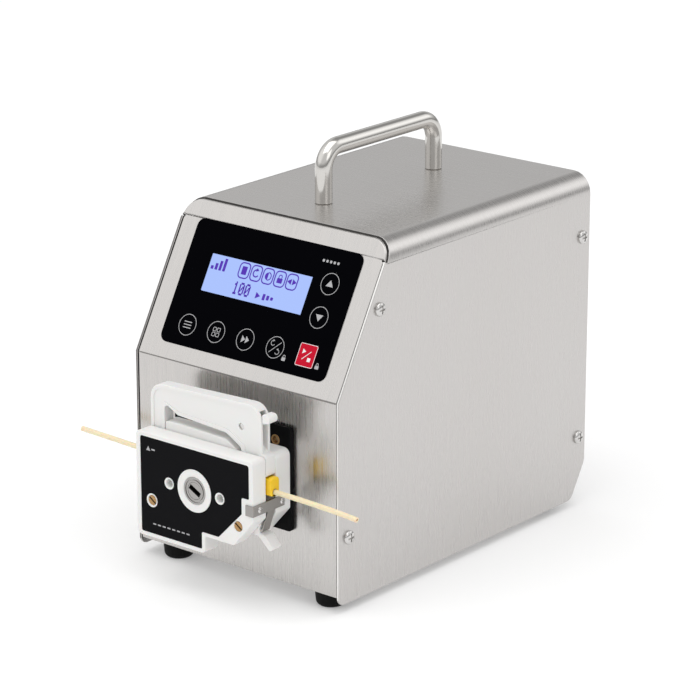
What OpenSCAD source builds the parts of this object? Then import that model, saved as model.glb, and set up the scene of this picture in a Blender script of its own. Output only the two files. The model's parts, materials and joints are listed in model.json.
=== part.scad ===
// Benchtop peristaltic pump: a sheet-steel drive unit with a sloping keypad and a small
// single-cartridge roller head on its front.
// Every sub-part is drawn with X to the right, Y from the front panel towards the back and
// Z up from the bench; placed() then moves it so that the origin is under the middle.

/* [Case] */
// Width over the two sides of the cover
case_w = 150; // [146:1:170]
// Depth of the case from the front panel to the back edge of the cover
case_d = 230.5; // [225:0.5:260]
// Height of the top of the case above the bench
case_h = 205; // [200:1:220]
// Height of the bend where the front panel starts to lean back
bend_h = 123; // [121:1:126]
// How far the sloping face runs back from the bend to the top
slope_run = 46; // [42:1:50]
// Thickness of the sheet steel
sheet = 1.5; // [1:0.1:2]
// Outer radius of the long top edges of the cover
edge_r = 12; // [6:1:14]
// Seam between the cover and the front panel
seam = 0.6; // [0.4:0.1:1]

/* [Handle and feet] */
// Diameter of the handle bar
bar_d = 10; // [8:0.5:12]
// Distance between the two legs of the handle
leg_pitch = 100; // [90:1:110]
// Height of the top of the handle above the case
handle_rise = 36.3; // [32:0.1:45]
// Bend radius of the bar, measured on its centre line
bar_bend_r = 12; // [10:1:20]
// Diameter of a rubber foot
foot_d = 18.6; // [14:0.2:20]
// Height of a rubber foot
foot_h = 10; // [9:0.5:11]

/* [Keypad] */
// Width of the black keypad overlay
overlay_w = 121.2; // [116:0.2:126]
// Length of the overlay up the slope
overlay_l = 73.8; // [70:0.2:78]
// Diameter of a round key
key_d = 12.8; // [11:0.2:13.4]
// Travel of a key
key_travel = 0.3; // [0.2:0.05:0.4]

/* [Pump head] */
// Height of the rotor shaft above the bench
shaft_h = 65.4; // [64:0.1:68]
// Width of the head plates
head_w = 86; // [84:1:88]
// Thickness of each head plate
plate_t = 11.2; // [11:0.1:11.6]
// Width of the slot between the plates that takes the cartridge
slot_w = 8; // [7.8:0.1:9]
// Radius of the circle through the roller axles
roller_pitch_r = 17; // [16:0.5:17.5]
// Radius of one roller
roller_r = 5; // [4.5:0.1:5]
// Outer diameter of the tube
tube_d = 3; // [2.6:0.1:3.2]

/* [Hidden] */
$fn = 48;
eps = 0.01;

// Case
half_w = case_w / 2;
inner_w = half_w - sheet;
panel_half_w = inner_w - seam;
seam_shift = 0.35;
slope_rise = case_h - bend_h;
slope_deg = atan2(slope_rise, slope_run);
lip_at = norm([slope_run, slope_rise]) - 12;
side_low = foot_h / 2;
pan_z = foot_h;
rear_cut_h = 17;
rear_cut_d = 13;
flange_d = 15;
port_stand = 5;

// Side screws, as [distance from the front, height]
side_screws = [[8.4, 44], [34.9, 168.6], [case_d - 7.5, 168], [case_d - 7.5, 43.7]];
pan_head_r = 4;
pan_head_h = 2.4;

// Handle: places of the two legs along the case
leg_y = [81.2, 81.2 + leg_pitch];
handle_x = -3.5;

// Feet, across the case and from the front
foot_x = [-54.5, 60];
foot_y = [11.4, 202];

// Keypad, in the plane of the slope: X across, Y up the slope from the bend
overlay_mid = 46.1;
overlay_t = 0.6;
lcd_mid = [-6, 53.4];
lcd_size = [73.6, 22.1];
key_row = 21.5;
key_column = 43.9;
run_size = [12.4, 13];
stem_r = 2;
board_drop = 10.4;

// Round keys and the run key, in the plane of the slope
key_places = [[-43.8, key_row], [-22.3, key_row], [-0.6, key_row], [21.3, key_row],
    [44, key_row], [key_column, 62.8], [key_column, 43.4]];
board_holes = [for (x = [-58, 58], y = [16, 76]) [x, y]];

// Motor
motor_w = 42.3;
motor_l = 60;
motor_boss_r = 11;
motor_pitch = 31;
motor_holes = [for (x = [-1, 1], z = [-1, 1]) [x * motor_pitch / 2, shaft_h + z * motor_pitch / 2]];

// Supply board, on spacers above the base pan
spacer_places = [for (x = [-50, 50], y = [112, 192]) [x, y]];
spacer_h = 5;
psu_z = pan_z + sheet + spacer_h;

// Sockets and switch on the back
rear_y = case_d - 1;
inlet_at = [-40, 62];
switch_at = [-40, 100];
port_at = [34, 62];
rocker_tilt = 9;
axle_r = 0.75;

// Pump head: distances of its layers in front of the case
adapter_t = 2.8;
rear_plate_t = plate_t + 1.2;
rear_plate_y = -adapter_t;
slot_back = rear_plate_y - rear_plate_t;
slot_front = slot_back - slot_w;
head_front = slot_front - plate_t;
slot_mid = (slot_front + slot_back) / 2;
head_half = head_w / 2;
head_low = shaft_h - 35.4;
ledge_z = head_low + 10.3;
head_high = shaft_h + 26.3;
shaft_r = 5;
bearing_r = 8;
bearing_t = 5;
pocket_r = 22.8;
pocket_d = 3.7;
run_gap = 0.05;
rotor_out_r = roller_pitch_r + roller_r;
tube_flat = 2.2;
tube_gap = 0.3;
bed_r = rotor_out_r + tube_gap + tube_flat + tube_gap;
rod_x = 32;
rod_z = shaft_h - 13.1;
rod_r = 4;
cart_front = slot_front + 0.2;
cart_back = slot_back - 0.2;
lever_at = [24.6, shaft_h + 40];
lever_pin_r = 1.9;
stop_z = 74.5;
stop_h = 10.5;
exit_right_z = 71.4;
exit_left_z = 73.9;
bracket_t = 0.8;
bracket_z = shaft_h - 1.9;
bracket_screw_y = [head_front + 5, slot_back + 4.4];
label_depth = 0.5;
stack_x = 18.8;

// Rotor: the two discs that hold the roller pins turn in pockets in the head plates
disc_r = 20.5;
disc_t = 1.9;
disc_front = slot_front - pocket_d + 0.6;
disc_back = slot_back + pocket_d - 0.6;
pin_r = 1.5;

// Occlusion lever: its arm moves in a slot in the middle of the cartridge
lever_slot = [slot_mid - 2.1, slot_mid + 2.1];
lever_up = 23;
lever_down = 40;

// Line of the tube over the rollers, from the left stop to the right stop
tube_r = rotor_out_r + tube_gap + tube_flat / 2;
tube_line = concat(
    [[-46, exit_left_z], [-36, exit_left_z], [-28, exit_left_z + 0.6]],
    [for (t = [156:-6:24]) [tube_r * cos(t), shaft_h + tube_r * sin(t)]],
    [[28, exit_right_z + 0.8], [36, exit_right_z], [46, exit_right_z]]);

// Free tube ends, as points along the middle of the tube
end_r = tube_d / 2;
route_right = [[46, slot_mid, 71.4], [56, slot_mid, 71.3], [66, slot_mid, 71.1],
    [76, slot_mid, 70.8], [86, slot_mid, 70.4], [95, slot_mid, 69.9], [104, slot_mid, 69.3]];
route_left = [[-46, slot_mid, 73.9], [-56, slot_mid, 74.2], [-66, slot_mid, 74.5],
    [-76, slot_mid, 74.8], [-86, slot_mid, 75.1], [-100, slot_mid, 75.5]];

// Middle of the whole object from front to back
mid_y = (case_d + port_stand + head_front - bracket_t) / 2;

// ---------- helpers ----------

module placed() {
    translate([0, -mid_y, 0]) children();
}

// Extrudes an X-Z outline from y0 back to y1
module slab(y0, y1) {
    translate([0, y1, 0]) rotate([90, 0, 0]) linear_extrude(y1 - y0) children();
}

// Extrudes a Y-Z outline from x0 to x1
module side_slab(x0, x1) {
    translate([x0, 0, 0]) rotate([90, 0, 90]) linear_extrude(x1 - x0) children();
}

// Cylinder along Y from y0 back to y1
module rod_y(r, y0, y1, at = [0, 0]) {
    translate([at[0], y1, at[1]]) rotate([90, 0, 0]) cylinder(r = r, h = y1 - y0);
}

// Plane of the sloping face: X across, Y up the slope, Z out of the face
module on_slope() {
    translate([0, 0, bend_h]) rotate([slope_deg, 0, 0]) children();
}

// Points of one rounded corner at b, between its neighbours a and c
function corner(a, b, c, r, n = 6) = let (
        u = (a - b) / norm(a - b), v = (c - b) / norm(c - b),
        half = acos(u * v) / 2, m = (u + v) / norm(u + v),
        centre = b + m * r / sin(half), turn = 90 - half,
        side = cross([u[0], u[1], 0], [v[0], v[1], 0])[2] > 0 ? 1 : -1)
    [for (i = [0:n]) let (t = turn * (1 - 2 * i / n) * side)
        centre - r * [m[0] * cos(t) - m[1] * sin(t), m[0] * sin(t) + m[1] * cos(t)]];

// Outline with rounded corners; each corner is [x, y, radius]
function rounded(p) = let (n = len(p)) [for (i = [0:n - 1])
    let (a = p[(i + n - 1) % n], b = p[i], c = p[(i + 1) % n])
    each b[2] > 0
        ? corner([a[0], a[1]], [b[0], b[1]], [c[0], c[1]], b[2])
        : [[b[0], b[1]]]];

module outline(p) {
    polygon(rounded(p));
}

// Rectangle with rounded corners, centred
module plate_2d(w, h, r) {
    outline([[-w / 2, -h / 2, r], [w / 2, -h / 2, r], [w / 2, h / 2, r], [-w / 2, h / 2, r]]);
}

// Band of the given width along a line of points
function band(p, w) = let (n = len(p), side = [for (i = [0:n - 1])
        let (d = p[min(i + 1, n - 1)] - p[max(i - 1, 0)]) [-d[1], d[0]] / norm(d) * w / 2])
    concat([for (i = [0:n - 1]) p[i] + side[i]], [for (i = [n - 1:-1:0]) p[i] - side[i]]);

// Round bar swept along points that lie in one X-Z plane
module swept(route, r, n = 8) {
    last = len(route) - 1;
    rings = [for (i = [0:last]) let (d = route[min(i + 1, last)] - route[max(i - 1, 0)],
            out = [-d[2], 0, d[0]] / norm(d))
        each [for (k = [0:n - 1]) route[i]
            + r * (out * cos(k * 360 / n) + [0, sin(k * 360 / n), 0])]];
    sides = [for (i = [0:last - 1], k = [0:n - 1]) let (j = (k + 1) % n)
        [i * n + k, i * n + j, (i + 1) * n + j, (i + 1) * n + k]];
    caps = [[for (k = [n - 1:-1:0]) k], [for (k = [0:n - 1]) last * n + k]];
    polyhedron(points = rings, faces = concat(sides, caps));
}

// Pan-head screw standing on z = 0 with its shank going down
module pan_screw(head_r, head_h, shank_r, shank_l) {
    slot_t = head_r * 0.26;
    difference() {
        rotate_extrude() polygon(concat([[0, 0], [head_r, 0]],
            [for (t = [0:15:90]) [head_r * cos(t) * 0.98, head_h * (0.35 + 0.65 * sin(t))]]));
        for (t = [0, 90]) rotate([0, 0, t])
            translate([-head_r * 0.6, -slot_t / 2, head_h * 0.45])
                cube([head_r * 1.2, slot_t, head_h]);
    }
    translate([0, 0, -shank_l]) cylinder(r = shank_r, h = shank_l + eps);
}

// ---------- case ----------

module case_profile() {
    outline([[0, side_low, 5], [0, bend_h, 0], [slope_run, case_h, 0],
        [case_d, case_h, 0], [case_d, side_low + rear_cut_h + 5, 8],
        [case_d - rear_cut_d, side_low, 7]]);
}

module wrap_2d(half, top, r) {
    outline([[-half, 0, 0], [half, 0, 0], [half, top, r], [-half, top, r]]);
}

module cover() {
    color("silver") difference() {
        intersection() {
            slab(-1, case_d + 1) difference() {
                wrap_2d(half_w, case_h, edge_r);
                translate([0, -eps]) wrap_2d(inner_w, case_h - sheet + eps, edge_r - sheet);
            }
            side_slab(-half_w - 1, half_w + 1) case_profile();
        }
        on_slope() translate([-half_w - 1, lip_at - 0.4, -sheet - 0.7])
            cube([case_w + 2, 30, sheet + 2]);
        for (s = side_screws, m = [-1, 1]) translate([m * inner_w, s[0], s[1]])
            rotate([0, m * 90, 0]) translate([0, 0, -1]) cylinder(r = 2.2, h = sheet + 2);
        for (y = leg_y) translate([handle_x, y, case_h - sheet - 1])
            cylinder(r = 2.6, h = sheet + 2);
    }
}

// Side view of the bent front sheet, or of its side flanges, of the given depth
module front_strip_2d(depth) {
    top_z = case_h - sheet - seam;
    top_y = slope_run * (top_z - bend_h) / slope_rise;
    polygon([[0, pan_z], [0, bend_h], [top_y, top_z], [top_y + depth / sin(slope_deg), top_z],
        [depth, bend_h - depth * tan((90 - slope_deg) / 2)], [depth, pan_z]]);
}

module front_panel() {
    color("gainsboro") difference() {
        union() {
            translate([seam_shift, 0, 0]) intersection() {
                union() {
                    side_slab(-panel_half_w, panel_half_w) front_strip_2d(sheet);
                    for (m = [-1, 1]) side_slab(m * (panel_half_w - sheet / 2) - sheet / 2,
                        m * (panel_half_w - sheet / 2) + sheet / 2) front_strip_2d(flange_d);
                }
                slab(-1, slope_run + flange_d + 10)
                    wrap_2d(panel_half_w, case_h - sheet - seam, edge_r - sheet - seam);
            }
            // The top of the panel lies over the front edge of the cover
            intersection() {
                on_slope() translate([-half_w, lip_at, -sheet]) cube([case_w, 20, sheet]);
                slab(0, slope_run + 10) wrap_2d(half_w - 0.8, case_h - 0.8, edge_r - 0.8);
            }
        }
        for (s = [side_screws[0], side_screws[1]], m = [-1, 1])
            translate([m * panel_half_w, s[0], s[1]])
                rotate([0, m * 90, 0]) translate([0, 0, -3]) cylinder(r = 2.1, h = 6);
        on_slope() {
            translate([lcd_mid[0], lcd_mid[1], -sheet - 1]) linear_extrude(sheet + 2)
                square([lcd_size[0] + 4, lcd_size[1] + 4], center = true);
            for (k = key_places) translate([k[0], k[1], -sheet - 1])
                cylinder(r = stem_r + 0.4, h = sheet + 2);
            for (m = [-1, 1]) translate([m * panel_half_w, lip_at, -4])
                cylinder(r = m < 0 ? 1.1 : 0.7, h = 5);
        }
        rod_y(motor_boss_r + 0.2, -1, sheet + 1, [0, shaft_h]);
        for (p = motor_holes) rod_y(1.8, -1, sheet + 1, p);
    }
}

module rear_panel() {
    y1 = case_d - 1;
    color("gainsboro") difference() {
        union() {
            slab(y1 - sheet, y1) intersection() {
                wrap_2d(panel_half_w, case_h - sheet - seam, edge_r - sheet - seam);
                translate([-half_w, side_low + rear_cut_h + 6]) square([case_w, case_h]);
            }
            for (m = [-1, 1]) translate([m * (panel_half_w - sheet / 2) - sheet / 2,
                y1 - flange_d, side_low + rear_cut_h + 6])
                cube([sheet, flange_d, case_h - edge_r - side_low - rear_cut_h - 9]);
        }
        for (s = [side_screws[2], side_screws[3]], m = [-1, 1])
            translate([m * panel_half_w, s[0], s[1]])
                rotate([0, m * 90, 0]) translate([0, 0, -3]) cylinder(r = 2.1, h = 6);
        slab(y1 - sheet - 1, y1 + 1) {
            translate(inlet_at) square([28.4, 20.4], center = true);
            translate(switch_at) square([13.2, 19.4], center = true);
            translate(port_at) square([26, 9.4], center = true);
        }
        for (m = [-1, 1]) {
            rod_y(1.7, y1 - sheet - 1, y1 + 1, inlet_at + [m * 20, 0]);
            rod_y(1.7, y1 - sheet - 1, y1 + 1, port_at + [m * 16.6, 0]);
        }
        for (i = [0:6]) translate([-24 + i * 8, y1 - sheet - 1, 150]) cube([3, sheet + 2, 30]);
    }
}

module base_pan() {
    y1 = case_d - 1 - sheet;
    color("silver") difference() {
        side_slab(-panel_half_w + sheet + 0.4, panel_half_w - sheet - 0.4) polygon([
            [sheet + 0.4, pan_z], [case_d - rear_cut_d - 3, pan_z],
            [y1, side_low + rear_cut_h + 4], [y1, side_low + rear_cut_h + 16],
            [y1 - sheet, side_low + rear_cut_h + 16],
            [y1 - sheet, side_low + rear_cut_h + 4.5],
            [case_d - rear_cut_d - 3.8, pan_z + sheet], [2 * sheet + 0.4, pan_z + sheet],
            [2 * sheet + 0.4, pan_z + 14], [sheet + 0.4, pan_z + 14]]);
        for (x = foot_x, y = foot_y) translate([x, y, pan_z - 1])
            cylinder(r = 2, h = sheet + 2);
        for (p = spacer_places) translate([p[0], p[1], pan_z - 1]) cylinder(r = 1.6, h = sheet + 2);
    }
}

module carry_handle() {
    r = bar_d / 2;
    mid_z = case_h + handle_rise - r;
    color("lightgray") translate([handle_x, 0, 0]) difference() {
        union() {
            for (y = leg_y) translate([0, y, case_h])
                cylinder(r = r, h = mid_z - bar_bend_r - case_h + eps);
            rod_y(r, leg_y[0] + bar_bend_r - eps, leg_y[1] - bar_bend_r + eps, [0, mid_z]);
            for (m = [0, 1]) translate([0, leg_y[m] + (1 - 2 * m) * bar_bend_r, mid_z - bar_bend_r])
                rotate([90, 0, 90]) rotate([0, 0, m == 0 ? 90 : 0]) rotate_extrude(angle = 90)
                    translate([bar_bend_r, 0]) circle(r = r);
        }
        for (y = leg_y) translate([0, y, case_h - 1]) cylinder(r = 2.5, h = 13);
    }
}

module handle_screws() {
    color("gray") for (y = leg_y) translate([handle_x, y, case_h - sheet])
        rotate([180, 0, 0]) pan_screw(4.6, 3, 2.4, 11);
}

module cover_screws() {
    color("gray") for (s = side_screws, m = [-1, 1])
        translate([m * half_w, s[0], s[1]]) rotate([0, m * 90, 0])
            pan_screw(pan_head_r, pan_head_h, 2, 6);
}

module rubber_feet() {
    r = foot_d / 2;
    round_r = 3;
    color("black") for (x = foot_x, y = foot_y) translate([x, y, 0])
        rotate_extrude() polygon(concat([[1.9, foot_h], [1.9, 4.4], [3.6, 4.4], [3.6, 0]],
            [for (t = [-90:15:0]) [r - 0.7 - round_r + round_r * cos(t), round_r + round_r * sin(t)]],
            [[r, foot_h]]));
}

module foot_screws() {
    color("gray") for (x = foot_x, y = foot_y) translate([x, y, 4.4])
        rotate([180, 0, 0]) pan_screw(3.2, 2, 1.6, 11);
}

// ---------- keypad and electronics ----------

module keypad_overlay() {
    color("black") on_slope() linear_extrude(overlay_t) difference() {
        translate([0, overlay_mid]) plate_2d(overlay_w, overlay_l, 5);
        translate(lcd_mid) square(lcd_size, center = true);
        for (i = [0, 1, 2, 3, 5, 6]) translate(key_places[i]) circle(r = key_d / 2 + 0.1);
        translate(key_places[4]) plate_2d(run_size[0] + 0.2, run_size[1] + 0.2, 1.1);
    }
}

module lcd_module() {
    color("royalblue") on_slope() translate([lcd_mid[0], lcd_mid[1], 0]) {
        translate([0, 0, -6]) linear_extrude(1.6) square([88, 36], center = true);
        translate([0, 0, -4.4]) linear_extrude(4) square([76.6, 25], center = true);
    }
}

module control_board() {
    color("darkgreen") on_slope() {
        difference() {
            translate([0, overlay_mid, -board_drop - 1.6]) linear_extrude(1.6)
                square([124, 70], center = true);
            for (p = board_holes) translate([p[0], p[1], -board_drop - 3]) cylinder(r = 1.6, h = 5);
        }
        for (k = key_places) translate([k[0], k[1], -board_drop]) linear_extrude(3.6)
            square([6, 6], center = true);
        translate([-6, 56, -board_drop]) linear_extrude(4) square([40, 6], center = true);
        translate([0, 40, -board_drop - 5.6]) linear_extrude(4) square([20, 20], center = true);
        translate([-40, 40, -board_drop - 9.6]) linear_extrude(8) square([8, 22], center = true);
    }
}

// One round key: a thin cap that lies in the overlay and a stem down to its switch
module round_key(i) {
    on_slope() translate([key_places[i][0], key_places[i][1], 0]) {
        translate([0, 0, key_travel + 0.05]) cylinder(r = key_d / 2, h = overlay_t - key_travel);
        translate([0, 0, -6.4]) cylinder(r = stem_r, h = 6.4 + key_travel + 0.1);
    }
}

module key_menu() { color("dimgray") round_key(0); }
module key_mode() { color("dimgray") round_key(1); }
module key_fast() { color("dimgray") round_key(2); }
module key_direction() { color("dimgray") round_key(3); }
module key_up() { color("dimgray") round_key(5); }
module key_down() { color("dimgray") round_key(6); }

module key_run() {
    color("crimson") on_slope() translate([key_places[4][0], key_places[4][1], 0]) {
        translate([0, 0, key_travel + 0.05]) linear_extrude(overlay_t - key_travel)
            plate_2d(run_size[0], run_size[1], 1);
        translate([0, 0, -6.4]) cylinder(r = stem_r, h = 6.4 + key_travel + 0.1);
    }
}

module stepper_motor() {
    color("dimgray") difference() {
        union() {
            slab(sheet, sheet + 8) translate([0, shaft_h]) plate_2d(motor_w, motor_w, 3);
            slab(sheet + 8, sheet + motor_l - 10) translate([0, shaft_h])
                outline([for (t = [0:7]) let (a = 22.5 + 45 * t)
                    [motor_w * 0.54 * cos(a), motor_w * 0.54 * sin(a), 0]]);
            slab(sheet + motor_l - 10, sheet + motor_l) translate([0, shaft_h])
                plate_2d(motor_w, motor_w, 3);
            rod_y(motor_boss_r, 0, sheet + 1, [0, shaft_h]);
            slab(sheet + motor_l - 9, sheet + motor_l + 0.5)
                translate([0, shaft_h + motor_w / 2 + 1.5]) square([16, 5], center = true);
        }
        rod_y(4.05, -1, 26, [0, shaft_h]);
        for (p = motor_holes) rod_y(1.6, sheet - 1, sheet + 7, p);
    }
}

module motor_screws() {
    color("gray") for (p = motor_holes) translate([p[0], -adapter_t + 2.1, p[1]])
        rotate([90, 0, 0]) pan_screw(2.7, 1.9, 1.5, 9);
}

module drive_shaft() {
    color("silver") {
        rod_y(4, -5, 24, [0, shaft_h]);
        slab(-9, -5 + eps) translate([0, shaft_h]) rotate(-28) square([7.6, 3], center = true);
    }
}

module power_supply() {
    color("darkgreen") {
        difference() {
            translate([-56, 106, psu_z]) cube([112, 92, 1.6]);
            for (p = spacer_places) translate([p[0], p[1], psu_z - 1]) cylinder(r = 1.6, h = 4);
        }
        translate([-18, 135, psu_z + 1.6 - eps]) cube([36, 32, 28]);
        for (y = [128, 150]) translate([38, y, psu_z + 1.6 - eps]) cylinder(r = 9, h = 30);
        translate([-44, 122, psu_z + 1.6 - eps]) cube([3, 56, 32]);
        for (y = [126, 142, 158]) translate([-41 - eps, y, psu_z + 6]) cube([5, 11, 16]);
        translate([20, 184, psu_z + 1.6 - eps]) cube([26, 10, 11]);
        translate([-16, 110, psu_z + 1.6 - eps]) cube([32, 10, 11]);
    }
}

// Hexagonal spacer standing on z = 0
module spacer(h) {
    difference() {
        cylinder(r = 3.2, h = h, $fn = 6);
        translate([0, 0, -1]) cylinder(r = 1.3, h = h + 2);
    }
}

module board_spacers() {
    color("gold") {
        for (p = spacer_places) translate([p[0], p[1], pan_z + sheet]) spacer(spacer_h);
        on_slope() for (p = board_holes) translate([p[0], p[1], -board_drop])
            spacer(board_drop - sheet);
    }
}

module inlet_socket() {
    color("black") difference() {
        union() {
            slab(rear_y, rear_y + 3.5) translate(inlet_at) plate_2d(50, 23, 4);
            slab(rear_y - 20, rear_y + eps) translate(inlet_at)
                outline([[-14, -10, 1], [14, -10, 1], [14, 5, 1], [9, 10, 1], [-9, 10, 1],
                    [-14, 5, 1]]);
        }
        slab(rear_y - 13, rear_y + 4) translate(inlet_at)
            outline([[-12, -8, 1], [12, -8, 1], [12, 4, 1], [8, 8, 1], [-8, 8, 1], [-12, 4, 1]]);
        for (m = [-1, 1]) rod_y(1.7, rear_y - 1, rear_y + 4, inlet_at + [m * 20, 0]);
    }
    color("silver") for (p = [[-7, -2], [0, 2], [7, -2]])
        translate([inlet_at[0] + p[0] - 1, rear_y - 14, inlet_at[1] + p[1] - 2]) cube([2, 10, 4]);
}

module power_switch() {
    color("black") difference() {
        union() {
            slab(rear_y, rear_y + 2) translate(switch_at) plate_2d(15, 21, 1.5);
            slab(rear_y - 16, rear_y + eps) translate(switch_at) square([12.8, 19], center = true);
        }
        slab(rear_y - 8, rear_y + 3) translate(switch_at) square([10.4, 16.4], center = true);
    }
    color("black") translate([switch_at[0], rear_y - 3, switch_at[1]]) rotate([0, 90, 0])
        cylinder(r = axle_r, h = 10.4 + 2 * eps, center = true);
}

// The rocker turns about an axle across its middle, 3 mm behind the face of the panel
module power_rocker() {
    color("dimgray") translate([switch_at[0], rear_y - 3, switch_at[1]]) difference() {
        side_slab(-4.9, 4.9) rotate(rocker_tilt) outline([[-3.5, -3, 0.5], [2, -6.4, 0.5],
            [5.2, -7.2, 0.8], [3.6, 0, 0], [5.2, 7.2, 0.8], [2, 6.4, 0.5], [-3.5, 3, 0.5]]);
        rotate([0, 90, 0]) cylinder(r = axle_r + 0.1, h = 12, center = true);
    }
}

module control_port() {
    color("silver") difference() {
        union() {
            slab(rear_y, rear_y + 1) translate(port_at) plate_2d(39.2, 12.5, 1.5);
            slab(rear_y - 10, rear_y + 6) translate(port_at)
                outline([[-11.6, -4.1, 1.6], [11.6, -4.1, 1.6], [12.6, 4.1, 1.6], [-12.6, 4.1, 1.6]]);
            for (m = [-1, 1]) translate([port_at[0] + m * 16.6, rear_y + 6, port_at[1]])
                rotate([90, 0, 0]) cylinder(r = 2.7, h = 6, $fn = 6);
        }
        slab(rear_y + 0.6, rear_y + 7) translate(port_at)
            outline([[-10.9, -3.4, 1.2], [10.9, -3.4, 1.2], [11.9, 3.4, 1.2], [-11.9, 3.4, 1.2]]);
        for (m = [-1, 1]) rod_y(1.4, rear_y - 1, rear_y + 7, port_at + [m * 16.6, 0]);
    }
}

// ---------- pump head ----------

module head_outline(top_r) {
    outline([[-head_half - 0.7, head_low, 3], [7.4, head_low, 3], [7.4, ledge_z, 1.5],
        [28.4, ledge_z, 2], [head_half, shaft_h - 8.4, 2], [head_half, head_high, top_r],
        [-head_half - 0.7, head_high, top_r]]);
}

module head_bores() {
    rod_y(bearing_r, head_front - 1, 1, [0, shaft_h]);
    for (m = [-1, 1]) rod_y(2.1, head_front - 1, 1, [m * rod_x, rod_z]);
}

module adapter_plate() {
    color("black") difference() {
        slab(-adapter_t, 0) outline([[-head_half, shaft_h - 23.2, 2], [head_half, shaft_h - 23.2, 2],
            [head_half, shaft_h + 37.6, 2], [-head_half, shaft_h + 37.6, 2]]);
        rod_y(12, -adapter_t - 1, 1, [0, shaft_h]);
        for (m = [-1, 1], z = [rod_z, shaft_h + 28.8]) rod_y(3, -adapter_t - 1, 1, [m * rod_x, z]);
        for (p = motor_holes) {
            rod_y(1.7, -adapter_t - 1, 1, p);
            rod_y(2.9, -adapter_t - 1, -adapter_t + 2.1, p);
        }
    }
}

module adapter_inserts() {
    color("goldenrod") for (m = [-1, 1], z = [rod_z, shaft_h + 28.8]) difference() {
        rod_y(3, -adapter_t, 0, [m * rod_x, z]);
        rod_y(2.1, -adapter_t - 1, 1, [m * rod_x, z]);
    }
}

module head_rear_plate() {
    color("whitesmoke") difference() {
        slab(slot_back, rear_plate_y) head_outline(4);
        head_bores();
        rod_y(pocket_r, slot_back - 1, slot_back + pocket_d, [0, shaft_h]);
    }
}

module label_2d(grow = 0) {
    g = grow;
    difference() {
        outline([[-40.2 - g, head_low + 2.6 - g, 1], [5.2 + g, head_low + 2.6 - g, 1],
            [5.2 + g, ledge_z + 2.4 - g, 1], [17.6 + g, ledge_z + 2.4 - g, 1],
            [34.8 + g, shaft_h - 5.1 - g, 1], [34.8 + g, shaft_h + 4.4 - g, 1],
            [40.2 + g, shaft_h + 4.4 - g, 1], [40.2 + g, head_high - 2.4 + g, 1.5],
            [-40.2 - g, head_high - 2.4 + g, 1.5]]);
        translate([0, shaft_h]) circle(r = 12.5 - g);
        for (m = [-1, 1]) translate([m * stack_x, shaft_h]) circle(r = 3.5 - g);
        translate([-rod_x, rod_z]) circle(r = 4.1 - g);
    }
}

module head_front_plate() {
    color("whitesmoke") difference() {
        slab(head_front, slot_front) head_outline(2.5);
        slab(head_front - 1, head_front + label_depth) label_2d(0.1);
        head_bores();
        rod_y(pocket_r, slot_front - pocket_d, slot_front + 1, [0, shaft_h]);
        for (m = [-1, 1]) {
            rod_y(2.35, head_front - 1, head_front + 6, [m * stack_x, shaft_h]);
            rod_y(2.95, head_front - 1, head_front + 2, [m * rod_x, rod_z]);
        }
    }
}

module face_label() {
    color("black") slab(head_front + 0.1, head_front + label_depth) label_2d();
}

module tie_rods() {
    color("silver") for (m = [-1, 1]) difference() {
        rod_y(rod_r, slot_front, slot_back, [m * rod_x, rod_z]);
        rod_y(2.1, slot_front - 1, slot_back + 1, [m * rod_x, rod_z]);
    }
}

module head_screws() {
    color("goldenrod") for (m = [-1, 1]) difference() {
        union() {
            rod_y(2.9, head_front + 0.3, head_front + 2, [m * rod_x, rod_z]);
            rod_y(2, head_front + 1, -0.5, [m * rod_x, rod_z]);
        }
        translate([m * rod_x, head_front, rod_z]) rotate([0, 35, 0])
            cube([7, 2.2, 0.9], center = true);
    }
}

module bearing_at(y0) {
    translate([0, y0, shaft_h]) rotate([-90, 0, 0]) rotate_extrude() polygon([
        [shaft_r + run_gap, 0], [6.2, 0], [6.2, 0.5], [6.9, 0.5], [6.9, 0], [bearing_r, 0],
        [bearing_r, bearing_t], [6.9, bearing_t], [6.9, bearing_t - 0.5], [6.2, bearing_t - 0.5],
        [6.2, bearing_t], [shaft_r + run_gap, bearing_t]]);
}

module shaft_bearings() {
    color("silver") {
        bearing_at(head_front + 0.3);
        bearing_at(slot_back + pocket_d + 0.6);
    }
}

module rotor_shaft() {
    color("lightgray") difference() {
        rod_y(shaft_r, head_front + 0.4, -5.2, [0, shaft_h]);
        slab(head_front - 1, head_front + 4) translate([0, shaft_h]) rotate(-28)
            square([8.5, 3], center = true);
        slab(-9.4, -4) translate([0, shaft_h]) rotate(-28) square([12, 3.2], center = true);
    }
}

module roller_places() {
    for (k = [0:5]) rotate([0, k * 60, 0]) translate([0, 0, roller_pitch_r]) children();
}

module roller_carrier() {
    color("lightgray") difference() {
        union() {
            rod_y(disc_r, disc_front, disc_front + disc_t, [0, shaft_h]);
            rod_y(disc_r, disc_back - disc_t, disc_back, [0, shaft_h]);
            rod_y(8, disc_front, disc_back, [0, shaft_h]);
        }
        rod_y(shaft_r + 0.02, disc_front - 1, disc_back + 1, [0, shaft_h]);
        translate([0, 0, shaft_h]) roller_places() rod_y(pin_r + 0.02, disc_front - 1, disc_back + 1);
    }
}

module roller_pins() {
    color("gray") translate([0, 0, shaft_h]) roller_places()
        rod_y(pin_r, disc_front - 0.2, disc_back + 0.2);
}

module roller(k) {
    color("silver") translate([0, 0, shaft_h]) rotate([0, k * 60, 0])
        translate([0, 0, roller_pitch_r]) difference() {
            rod_y(roller_r, disc_front + disc_t + 0.2, disc_back - disc_t - 0.2);
            rod_y(pin_r + run_gap, disc_front, disc_back);
        }
}

// ---------- cartridge ----------

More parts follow.
